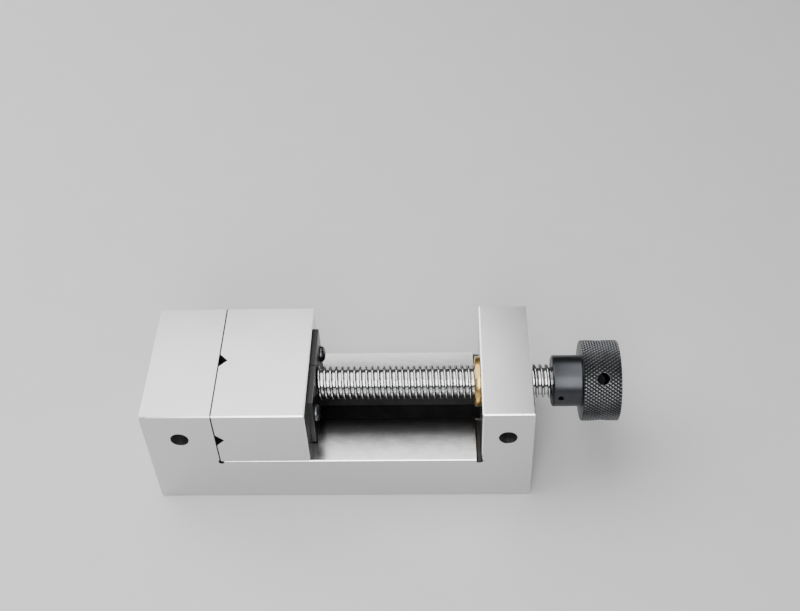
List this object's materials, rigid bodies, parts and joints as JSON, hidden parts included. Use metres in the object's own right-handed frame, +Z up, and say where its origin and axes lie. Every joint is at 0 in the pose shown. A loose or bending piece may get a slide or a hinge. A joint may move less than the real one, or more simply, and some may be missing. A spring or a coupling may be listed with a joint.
{
  "type": "machine vise",
  "caption": "Screw-type toolmaker's grinding vise: one-piece ground steel body, sliding jaw on a T-slot keeper, lead screw in a bronze nut, knurled knob.",
  "frame": {"origin": "centre of the closed vise's bounding box in X and Y, on the underside of the body", "axes": "+X along the lead screw from the fixed jaw to the knob, +Y to the rear side, +Z up from the underside to the jaw tops"},
  "size_m": [0.1966, 0.06, 0.057],
  "materials": {
    "ground_steel": "fine ground, hardened",
    "screw_steel": "polished",
    "black_steel": "black oxide, satin",
    "plate_steel": "dark ground",
    "bronze": "machined",
    "spring_steel": "bright"
  },
  "bodies": {
    "vise": {"vise_body": "ground_steel", "lead_nut": "bronze", "nut_lock_screw": "black_steel"},
    "jaw": {"movable_jaw": "ground_steel", "thrust_ball": "spring_steel", "retainer_plate_front": "plate_steel", "retainer_plate_rear": "plate_steel", "retainer_screw_front": "black_steel", "retainer_screw_rear": "black_steel", "keeper_plate": "plate_steel", "keeper_screw_left": "black_steel", "keeper_screw_right": "black_steel", "disc_spring_left_upper": "spring_steel", "disc_spring_left_lower": "spring_steel", "disc_spring_right_upper": "spring_steel", "disc_spring_right_lower": "spring_steel"},
    "screw": {"lead_screw": "screw_steel", "knob": "black_steel", "knob_pin": "spring_steel"}
  },
  "joints": [
    {"name": "jaw_slide", "type": "slide", "parent": "vise", "child": "jaw", "axis": [1, 0, 0], "range_m": [0, 0.065]},
    {"name": "screw_spin", "type": "hinge", "parent": "jaw", "child": "screw", "pos_m": [0, 0, 0.04], "axis": [1, 0, 0], "range_deg": [0, 9225]}
  ],
  "couplings": [
    {"joint": "screw_spin", "follows": "jaw_slide", "rad_per_m": 2473.7}
  ]
}
